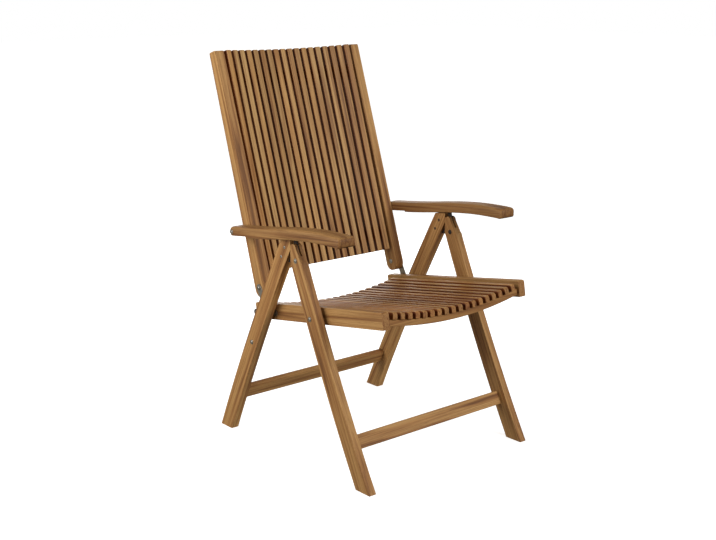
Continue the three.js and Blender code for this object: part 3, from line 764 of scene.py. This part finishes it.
def part_across_bolt(piece):
    """Parts an arm's side faces upright through the bolt hole, and joins each part to one face."""
    edit(piece, "FACE", "SELECT")
    bpy.ops.mesh.bisect(plane_co=ARM_BOLT, plane_no=(0.0, 1.0, 0.0))
    leave_edit()
    select_edges(piece, is_needless)
    bpy.ops.mesh.dissolve_edges(use_verts=False)
    leave_edit()


def is_needless(middle, pair):
    """Whether an edge lies in a plane face, away from the cut through the bolt hole."""
    return pair[0].normal.dot(pair[1].normal) > ONE_PLANE and abs(middle.y - ARM_BOLT.y) > CUT_MARGIN


def is_top_rim(middle, pair):
    """Whether an edge joins an arm's walls to its upper faces or to its round heel."""
    return is_arm_rim(middle, pair, 1.0)


def is_foot_rim(middle, pair):
    """Whether an edge joins an arm's walls to its lower faces, ahead of the thin rear end."""
    return is_arm_rim(middle, pair, -1.0) and middle.y < ARM_STEP


def is_arm_rim(middle, pair, upwards):
    """Whether an edge joins an outer wall of an arm to a face that looks up, or down for -1."""
    if near(middle, ARM_BOLT, BOLT_HOLE_MARGIN):
        return False
    heel = middle.y > ARM_BOLT.y and upwards > 0
    flats = [
        face
        for face in pair
        if face.normal.z * upwards > LEVEL_FACING or (heel and face.normal.y > HEEL_FACING)
    ]
    walls = [
        face
        for face in pair
        if abs(face.normal.z) < UPRIGHT_TILT and (abs(face.normal.x) > SIDE_FACING or not heel)
    ]
    low, high = ARM_BOX
    margin = min(abs(middle.x) - low.x, high.x - abs(middle.x), middle.y - low.y)
    return bool(flats) and bool(walls) and margin < ARM_RIM_MARGIN


# Steel fittings

# How deep fittings start in what carries them, so that no gap shows
SUNK = 0.0002

# Points of two rings closer than this are one
RING_MERGE_DISTANCE = 0.0000005

# A dome in shares of its height and radius, and a screw head in places along X and shares of its radius
DOME_PROFILE = ((0.0, 1.0), (0.45, 0.985), (0.70, 0.92), (0.88, 0.78), (0.97, 0.60), (1.0, 0.45))
SCREW_PROFILE = ((-0.0018, 0.6), (-SUNK, 1.0), (0.0003, 1.0), (0.0006, 0.88), (0.0007, 0.6))
SCREW_TOP = SCREW_PROFILE[-1][0]
SCREW_SEGMENTS = 24

# What the rounding of a washer's edge takes of its thickness
WASHER_EASE = 0.3

# The socket of a bolt and the cross recess of a screw, whose bars are in shares of the head's radius
SOCKET_DEPTH = 0.0016
RECESS_DEPTH = 0.0012
RECESS_LENGTH = 1.1
RECESS_WIDTH = 0.26

# The disc at the end of a rail, in places along X and radii
STOP_HEIGHT = 0.0038
STOP_PROFILE = ((-SUNK, 0.0088), (0.0030, 0.0088), (STOP_HEIGHT, 0.0080), (STOP_HEIGHT, 0.0040))

# How far heads are turned: at most, by chance, and each screw of a bracket and a rail stop
BOLT_TURN_LIMIT = 1.0
SCREW_TURN_LIMIT = 1.5
BRACKET_SCREW_TURN = 0.5
STOP_SCREW_TURN = 0.4

# The pivot bolts: their shank, what a head takes of their length, and the washer between stile and arm
SHANK_RADIUS = 0.004
HEAD_LENGTH = 0.003
SPACER_RADIUS = 0.009
SPACER_START = RAIL_OUTER + 0.0003
SPACER_END = RAIL_OUTER + 0.0013

# The angle up to which steel is shaded smooth, and the facets on a plate's rounded edges
STEEL_SMOOTH_ANGLE = math.radians(32.0)
PLATE_SEGMENTS = 2


def turned(name, rings, segments=32):
    """A round piece turned about X: a disc drawn out ring by ring, each a place along X and a radius."""
    deselect_all()
    start, radius = rings[0]
    bpy.ops.mesh.primitive_circle_add(
        vertices=segments,
        radius=radius,
        fill_type="NGON",
        location=(start, 0.0, 0.0),
        rotation=(0.0, math.pi / 2, 0.0),
    )
    piece = bpy.context.active_object
    piece.name = name
    bpy.ops.object.transform_apply(location=True, rotation=True, scale=True)
    edit(piece, "FACE", "SELECT")
    for place, width in rings[1:]:
        bpy.ops.mesh.extrude_region_move(TRANSFORM_OT_translate={"value": (place - start, 0.0, 0.0)})
        scale = width / radius
        bpy.ops.transform.resize(value=(1.0, scale, scale), center_override=(place, 0.0, 0.0))
        start, radius = place, width
    bpy.ops.mesh.select_all(action="SELECT")
    bpy.ops.mesh.remove_doubles(threshold=RING_MERGE_DISTANCE)
    bpy.ops.mesh.select_all(action="DESELECT")
    bpy.ops.mesh.select_mode(type="EDGE")
    bpy.ops.mesh.select_non_manifold(extend=False)
    bpy.ops.mesh.fill_holes(sides=0)
    bpy.ops.mesh.select_all(action="SELECT")
    bpy.ops.mesh.normals_make_consistent(inside=False)
    leave_edit()
    return piece


def cut_with(piece, cutters):
    """Cuts primitives out of a piece and removes them."""
    for cutter in cutters:
        difference = piece.modifiers.new("Cut", "BOOLEAN")
        difference.operation = "DIFFERENCE"
        difference.solver = "EXACT"
        difference.object = cutter
    apply_modifiers(piece)
    for cutter in cutters:
        bpy.data.objects.remove(cutter)


def cutter_bar(place, size, turn):
    """A bar turned about X, which cuts one stroke of a cross."""
    deselect_all()
    bpy.ops.mesh.primitive_cube_add(size=1.0, location=place, rotation=(turn, 0.0, 0.0), scale=size)
    return bpy.context.active_object


def cut_socket(piece, face, radius):
    """A six-sided socket in the face of a bolt head that looks along X."""
    deselect_all()
    bpy.ops.mesh.primitive_cylinder_add(
        vertices=6,
        radius=radius,
        depth=SOCKET_DEPTH * 2,
        location=(face, 0.0, 0.0),
        rotation=(0.0, math.pi / 2, 0.0),
    )
    cut_with(piece, [bpy.context.active_object])


def cut_cross(piece, face, radius):
    """A cross recess in the face of a screw head that looks along X."""
    size = (RECESS_DEPTH * 2, radius * RECESS_LENGTH, radius * RECESS_WIDTH)
    cut_with(piece, [cutter_bar((face, 0.0, 0.0), size, turn) for turn in (0.0, math.pi / 2)])


def finish_steel(piece, name="brushed steel"):
    """Shades a fitting smooth and gives it one steel finish."""
    make_active(piece)
    bpy.ops.object.shade_smooth_by_angle(angle=STEEL_SMOOTH_ANGLE)
    piece.data.materials.clear()
    piece.data.materials.append(finish_named(name))


def domed(start, radius, height):
    """Rings of a low dome that starts at a place along X."""
    return [(start + rise * height, width * radius) for rise, width in DOME_PROFILE]


def washered_head():
    """Rings of a washer and a domed head that stand on the plane where X is 0."""
    fittings = settings().fittings
    top = fittings.washer_height
    edge = top * WASHER_EASE
    washer = [
        (-SUNK, fittings.washer_radius),
        (top - edge, fittings.washer_radius),
        (top, fittings.washer_radius - edge),
    ]
    return washer + domed(top, fittings.head_radius, fittings.head_height)


def bolt_head(name):
    """A washer and a domed head with a socket."""
    fittings = settings().fittings
    piece = turned(name, washered_head())
    cut_socket(piece, fittings.washer_height + fittings.head_height, fittings.socket_radius)
    finish_steel(piece)
    return piece


def screw_head(name):
    """A flat head that stands a little proud of the wood."""
    radius = settings().fittings.screw_radius
    piece = turned(name, [(place, radius * share) for place, share in SCREW_PROFILE], SCREW_SEGMENTS)
    cut_cross(piece, SCREW_TOP, radius)
    finish_steel(piece)
    return piece


def place_copy(master, name, centre, side, body, turn=0.0, finish=None):
    """A copy of a fitting with its own mesh, set at a place and facing left or right."""
    piece = bpy.data.objects.new(name, master.data.copy())
    bpy.context.scene.collection.objects.link(piece)
    facing = Matrix.Rotation(0.0 if side > 0 else math.pi, 4, "Z")
    piece.data.transform(Matrix.Translation(centre) @ facing @ Matrix.Rotation(turn, 4, "X"))
    if finish:
        piece.data.materials[0] = finish_named(finish)
    attach(piece, body)
    return piece


def finish_facing(facing):
    """Heads on the inner faces are duller and darker than those on the outer faces."""
    return "brushed steel" if facing > 0 else "dark steel"


def at(x, pivot, step=(0.0, 0.0)):
    """A point in the plane at x, a step back and up from a pivot."""
    return Vector((x, pivot.y + step[0], pivot.z + step[1]))


def remove_masters(*masters):
    """Removes fittings that were made only to be copied."""
    for master in masters:
        bpy.data.objects.remove(master)


class ARMCHAIR_OT_plates(bpy.types.Operator):
    """Eases the hinge brackets and links and gives them brushed steel"""

    bl_idname = "armchair.plates"
    bl_label = "Brackets and Links"

    def execute(self, context):
        radius = settings().edges.steel_radius
        for side in SIDES:
            for node, body in ((f"hinge_bracket_{side}", "seat"), (f"link_{side}", "links")):
                piece = copy_of_node(node, f"plate_{node}")
                round_edges(piece, radius, PLATE_SEGMENTS)
                finish_steel(piece)
                attach(piece, body, node)
        return {"FINISHED"}


class ARMCHAIR_OT_pivot_bolts(bpy.types.Operator):
    """Turns the arm and back hinge bolts with their washers and nuts"""

    bl_idname = "armchair.pivot_bolts"
    bl_label = "Arm and Hinge Bolts"

    def execute(self, context):
        fittings = settings().fittings
        head = washered_head()
        reach = fittings.washer_height + fittings.head_height
        arm_low, arm_high = (corner.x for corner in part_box("arm_bolt_left"))
        arm_face = arm_high - HEAD_LENGTH
        arm_rings = [
            (arm_low, SHANK_RADIUS),
            (SPACER_START, SHANK_RADIUS),
            (SPACER_START, SPACER_RADIUS),
            (SPACER_END, SPACER_RADIUS),
            (SPACER_END, SHANK_RADIUS),
            (arm_face - SUNK, SHANK_RADIUS),
            *((arm_face + out, radius) for out, radius in head),
        ]
        hinge_low, hinge_high = (corner.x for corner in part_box("hinge_bolt_left"))
        outer, inner = hinge_high - HEAD_LENGTH, hinge_low + HEAD_LENGTH
        hinge_rings = [
            *((inner - out, radius) for out, radius in reversed(head)),
            (inner + SUNK, SHANK_RADIUS),
            (outer - SUNK, SHANK_RADIUS),
            *((outer + out, radius) for out, radius in head),
        ]
        for node, pivot, rings, socket_faces, body in (
            ("arm_bolt", ARM_BOLT, arm_rings, (arm_face + reach,), "arm_bolts"),
            ("hinge_bolt", BACK_HINGE, hinge_rings, (outer + reach, inner - reach), "back_bolts"),
        ):
            master = turned(f"master_{node}", rings)
            for face in socket_faces:
                cut_socket(master, face, fittings.socket_radius)
            finish_steel(master)
            for side, way in SIDES.items():
                piece = place_copy(master, f"{node}_turned_{side}", at(0.0, pivot), way, body)
                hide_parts(f"{node}_{side}")
            remove_masters(master)
        return {"FINISHED"}


class ARMCHAIR_OT_leg_bolts(bpy.types.Operator):
    """Sets the bolt heads, nuts and screws on the legs and rails"""

    bl_idname = "armchair.leg_bolts"
    bl_label = "Leg Bolts and Screws"

    def execute(self, context):
        bolt = bolt_head("master_bolt")
        screw = screw_head("master_screw")
        spots = (
            ("seat_pivot_bolt", LEG_OUTER, SEAT_PIVOT, 1.0, "front_frame"),
            ("seat_pivot_nut", RAIL_INNER, SEAT_PIVOT, -1.0, "seat"),
            ("apex_bolt", LEG_OUTER, APEX, 1.0, "front_frame"),
            ("apex_nut", LEG_INNER, APEX, -1.0, "front_frame"),
            ("link_foot_bolt", LEG_OUTER, LINK_FOOT, 1.0, "rear_frame"),
        )
        for side, way in SIDES.items():
            for name, x, pivot, facing, body in spots:
                place = at(x * way, pivot)
                turn = random.Random(name + side).uniform(0.0, BOLT_TURN_LIMIT)
                finish = finish_facing(facing)
                place_copy(bolt, f"{name}_{side}", place, facing * way, body, turn, finish)
            for number, step in enumerate(PLATE_SCREW_STEPS, 1):
                for where, x, facing in (("outer", LEG_OUTER, 1.0), ("inner", LEG_INNER, -1.0)):
                    name = f"plate_screw_{where}_{number}_{side}"
                    place = at(x * way, APEX, step)
                    turn = random.Random(f"{where}{number}{side}").uniform(0.0, SCREW_TURN_LIMIT)
                    finish = finish_facing(facing)
                    place_copy(screw, name, place, facing * way, "rear_frame", turn, finish)
            for number, step in enumerate(BRACKET_SCREW_STEPS, 1):
                name = f"bracket_screw_{number}_{side}"
                place = at(BRACKET_OUTER * way, SEAT_PIVOT, step)
                place_copy(screw, name, place, way, "seat", number * BRACKET_SCREW_TURN)
        remove_masters(bolt, screw)
        return {"FINISHED"}


class ARMCHAIR_OT_rail_stops(bpy.types.Operator):
    """Turns the round stop at the rear end of each seat rail and sets its screw"""

    bl_idname = "armchair.rail_stops"
    bl_label = "Rail Stops"

    def execute(self, context):
        stop = turned("master_stop", STOP_PROFILE)
        finish_steel(stop, "dark steel")
        screw = screw_head("master_stop_screw")
        for side, way in SIDES.items():
            foot = at(RAIL_OUTER * way, SEAT_PIVOT, RAIL_STOP_STEP)
            top = at((RAIL_OUTER + STOP_HEIGHT) * way, SEAT_PIVOT, RAIL_STOP_STEP)
            place_copy(stop, f"rail_stop_{side}", foot, way, "seat")
            place_copy(screw, f"rail_stop_screw_{side}", top, way, "seat", STOP_SCREW_TURN)
        remove_masters(stop, screw)
        return {"FINISHED"}


# Stage

# The floor, its faint clouds and how matt it is, and the width of the camera's sensor in millimetres
FLOOR_SIZE = 40.0
FLOOR_CLOUD = ((1.5, 1.5, 1.5), 2.0)
FLOOR_TINTS = ((0.3, grey(0.97)), (0.7, grey(1.0)))
FLOOR_CLOUD_SHARE = 0.5
FLOOR_ROUGHNESS = 0.9
SENSOR_WIDTH = 36.0

# Name, kind, place and size of each light. A sun's size is the angle that it fills
LIGHTS = (
    ("front light", "SUN", (0.5, -3.2, 2.2), math.radians(35.0)),
    ("side light", "AREA", (-1.9, 0.3, 1.2), 1.4),
    ("back light", "AREA", (1.5, 2.3, 0.9), 1.8),
)
LIT_POINT = Vector((0.0, 0.0, 0.55))


class ARMCHAIR_OT_stage(bpy.types.Operator):
    """Sets up the pale floor, the soft lights and the camera"""

    bl_idname = "armchair.stage"
    bl_label = "Stage"

    def execute(self, context):
        stage = settings().stage
        self.floor(stage)
        self.sky(stage)
        for light, strength in zip(LIGHTS, (stage.front_light, stage.side_light, stage.back_light)):
            self.light(*light, strength)
        self.camera(stage)
        context.scene.view_settings.view_transform = "Standard"
        return {"FINISHED"}

    def floor(self, stage):
        """A pale floor with a glow of its own, which throws no light or reflection on the chair."""
        deselect_all()
        bpy.ops.mesh.primitive_plane_add(size=FLOOR_SIZE, location=(0.0, 0.0, 0.0))
        floor = bpy.context.active_object
        floor.name = "floor"
        material, tree, shader = new_material("pale floor")
        cloud = ramp(tree, stretched_noise(tree, object_place(tree), *FLOOR_CLOUD), FLOOR_TINTS)
        base = mix(tree, "MULTIPLY", FLOOR_CLOUD_SHARE, tuple(stage.floor), cloud)
        tree.links.new(base, shader.inputs["Base Color"])
        shader.inputs["Roughness"].default_value = FLOOR_ROUGHNESS
        shader.inputs["Emission Color"].default_value = (1.0, 1.0, 1.0, 1.0)
        shader.inputs["Emission Strength"].default_value = stage.floor_glow
        floor.data.materials.append(material)
        floor.visible_diffuse = False
        floor.visible_glossy = False

    def sky(self, stage):
        """Surroundings that look white, light the chair softly and shine warm in its reflections."""
        world = bpy.data.worlds.new("studio")
        world.use_nodes = True
        tree = world.node_tree
        background = tree.nodes["Background"]
        path = tree.nodes.new("ShaderNodeLightPath").outputs
        light = mix(tree, "MIX", path["Is Glossy Ray"], grey(stage.sky), tuple(stage.sheen))
        light = mix(tree, "MIX", path["Is Camera Ray"], light, grey(1.0))
        tree.links.new(light, background.inputs["Color"])
        background.inputs["Strength"].default_value = 1.0
        bpy.context.scene.world = world

    def light(self, name, kind, place, size, strength):
        """A soft light that looks at the chair's middle and isn't seen itself."""
        deselect_all()
        bpy.ops.object.light_add(type=kind, location=place)
        lamp = bpy.context.active_object
        lamp.name = name
        lamp.visible_camera = False
        lamp.data.energy = strength
        if kind == "SUN":
            lamp.data.angle = size
        else:
            lamp.data.shape = "DISK"
            lamp.data.size = size
        towards = LIT_POINT - Vector(place)
        lamp.rotation_euler = towards.to_track_quat("-Z", "Y").to_euler()

    def camera(self, stage):
        optics = bpy.data.cameras.new("camera")
        optics.lens = stage.lens
        optics.sensor_width = SENSOR_WIDTH
        optics.sensor_fit = "HORIZONTAL"
        optics.dof.use_dof = False
        camera = bpy.data.objects.new("camera", optics)
        camera.location = stage.camera_place
        camera.rotation_euler = stage.camera_turn
        bpy.context.scene.collection.objects.link(camera)
        bpy.context.scene.camera = camera


class ARMCHAIR_PT_panel(bpy.types.Panel):
    bl_label = "Folding Armchair"
    bl_idname = "ARMCHAIR_PT_panel"
    bl_space_type = "VIEW_3D"
    bl_region_type = "UI"
    bl_category = "Armchair"

    def draw(self, context):
        for operator in OPERATORS:
            self.layout.operator(operator.bl_idname)


OPERATORS = (
    ARMCHAIR_OT_legs,
    ARMCHAIR_OT_seat,
    ARMCHAIR_OT_back,
    ARMCHAIR_OT_arms,
    ARMCHAIR_OT_plates,
    ARMCHAIR_OT_pivot_bolts,
    ARMCHAIR_OT_leg_bolts,
    ARMCHAIR_OT_rail_stops,
    ARMCHAIR_OT_stage,
)
CLASSES = (
    TeakSettings,
    EdgeSettings,
    FittingSettings,
    StageSettings,
    ArmchairSettings,
    *OPERATORS,
    ARMCHAIR_PT_panel,
)


def register():
    for cls in CLASSES:
        bpy.utils.register_class(cls)
    bpy.types.Scene.armchair = PointerProperty(type=ArmchairSettings)


def unregister():
    del bpy.types.Scene.armchair
    for cls in reversed(CLASSES):
        bpy.utils.unregister_class(cls)


def main():
    register()
    for operator in OPERATORS:
        group, name = operator.bl_idname.split(".")
        getattr(getattr(bpy.ops, group), name)()


if __name__ == "__main__":
    main()
